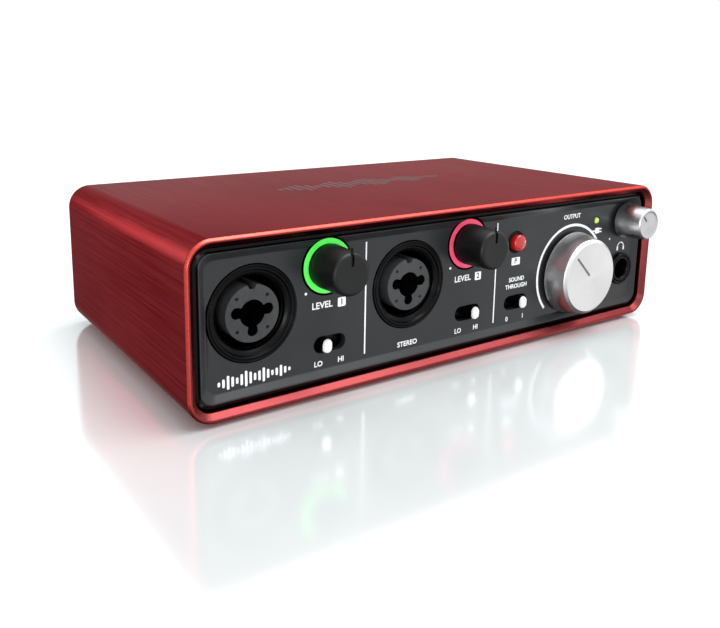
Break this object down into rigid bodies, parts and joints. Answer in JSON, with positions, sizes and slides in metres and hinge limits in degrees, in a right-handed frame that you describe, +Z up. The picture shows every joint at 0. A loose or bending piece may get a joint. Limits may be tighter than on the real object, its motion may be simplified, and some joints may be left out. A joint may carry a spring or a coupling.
{
  "type": "audio interface",
  "caption": "Desktop audio interface: brushed red metal sleeve, tray-shaped front panel with combination sockets, ringed gain knobs, level knobs, slide switches and a lit button.",
  "frame": {"origin": "middle of the bounding box, on the surface that the feet stand on", "axes": "+X to the right seen from the front, +Y to the rear, +Z up; the controls face -Y"},
  "size_m": [0.175, 0.1076, 0.047],
  "materials": {
    "sleeve_red": "brushed, red anodised",
    "fascia_grey": "satin dark grey",
    "subplate_steel": "zinc plated",
    "rear_black": "satin black",
    "screw_steel": "zinc plated",
    "screw_black": "black oxide",
    "foot_rubber": "matte",
    "socket_black": "satin black",
    "socket_insert": "satin grey",
    "halo_green": "translucent, lit from behind",
    "halo_red": "translucent, lit from behind",
    "knob_black": "soft matte",
    "knob_silver": "spun, bright chamfer",
    "shaft_steel": "turned",
    "pot_metal": "tin plated",
    "switch_white": "smooth",
    "button_red": "clear red lens, lit",
    "switch_black": "moulded",
    "light_green": "clear, lit",
    "board_green": "solder mask",
    "part_black": "moulded",
    "can_aluminium": "drawn can",
    "nut_steel": "nickel plated",
    "usb_steel": "nickel plated",
    "usb_white": "moulded"
  },
  "bodies": {
    "case": {"sleeve": "sleeve_red", "front_fascia": "fascia_grey", "front_subplate": "subplate_steel", "rear_plate": "rear_black", "front_screw_1": "screw_steel", "front_screw_2": "screw_steel", "front_screw_3": "screw_steel", "front_screw_4": "screw_steel", "rear_screw_1": "screw_black", "rear_screw_2": "screw_black", "rear_screw_3": "screw_black", "rear_screw_4": "screw_black", "foot_1": "foot_rubber", "foot_2": "foot_rubber", "foot_3": "foot_rubber", "foot_4": "foot_rubber", "combo_shell_1": "socket_black", "combo_shell_2": "socket_black", "phones_socket": "socket_black", "phones_nut": "socket_black", "line_out_jack_1": "socket_black", "line_out_jack_2": "socket_black", "combo_insert_1": "socket_insert", "combo_insert_2": "socket_insert", "halo_ring_1": "halo_green", "halo_ring_2": "halo_red", "gain_pot_1": "pot_metal", "gain_pot_2": "pot_metal", "monitor_pot": "pot_metal", "phones_pot": "pot_metal", "level_switch_body_1": "pot_metal", "level_switch_body_2": "pot_metal", "monitor_switch_body": "pot_metal", "phantom_switch_body": "switch_black", "usb_light_pipe": "light_green", "front_board": "board_green", "main_board": "board_green", "board_header": "part_black", "usb_chip": "part_black", "converter_chip": "part_black", "power_inductor": "part_black", "capacitor_1": "can_aluminium", "capacitor_2": "can_aluminium", "capacitor_3": "can_aluminium", "line_out_nut_1": "nut_steel", "line_out_nut_2": "nut_steel", "usb_socket_shell": "usb_steel", "usb_socket_core": "usb_white"},
    "gain_knob_1": {"gain_knob_1": "knob_black", "gain_shaft_1": "shaft_steel"},
    "gain_knob_2": {"gain_knob_2": "knob_black", "gain_shaft_2": "shaft_steel"},
    "monitor_knob": {"monitor_knob": "knob_silver", "monitor_shaft": "shaft_steel"},
    "phones_knob": {"phones_knob": "knob_silver", "phones_shaft": "shaft_steel"},
    "level_switch_1": {"level_switch_cap_1": "switch_white"},
    "level_switch_2": {"level_switch_cap_2": "switch_white"},
    "monitor_switch": {"monitor_switch_cap": "switch_white"},
    "phantom_button": {"phantom_button": "button_red"}
  },
  "joints": [
    {"name": "gain_1_turn", "type": "hinge", "parent": "case", "child": "gain_knob_1", "pos_m": [-0.0464, -0.05375, 0.0352], "axis": [0, 1, 0], "range_deg": [-140, 140]},
    {"name": "gain_2_turn", "type": "hinge", "parent": "case", "child": "gain_knob_2", "pos_m": [0.0032, -0.05375, 0.0352], "axis": [0, 1, 0], "range_deg": [-140, 140]},
    {"name": "monitor_turn", "type": "hinge", "parent": "case", "child": "monitor_knob", "pos_m": [0.0498, -0.05375, 0.0201], "axis": [0, 1, 0], "range_deg": [-95, 185]},
    {"name": "phones_turn", "type": "hinge", "parent": "case", "child": "phones_knob", "pos_m": [0.076, -0.05375, 0.035], "axis": [0, 1, 0], "range_deg": [-95, 185]},
    {"name": "level_1_slide", "type": "slide", "parent": "case", "child": "level_switch_1", "axis": [1, 0, 0], "range_m": [0, 0.0035]},
    {"name": "level_2_slide", "type": "slide", "parent": "case", "child": "level_switch_2", "axis": [1, 0, 0], "range_m": [-0.0035, 0]},
    {"name": "monitor_slide", "type": "slide", "parent": "case", "child": "monitor_switch", "axis": [1, 0, 0], "range_m": [-0.0035, 0]},
    {"name": "phantom_press", "type": "slide", "parent": "case", "child": "phantom_button", "axis": [0, 1, 0], "range_m": [0, 0.002], "stiffness_N_per_m": 400}
  ]
}
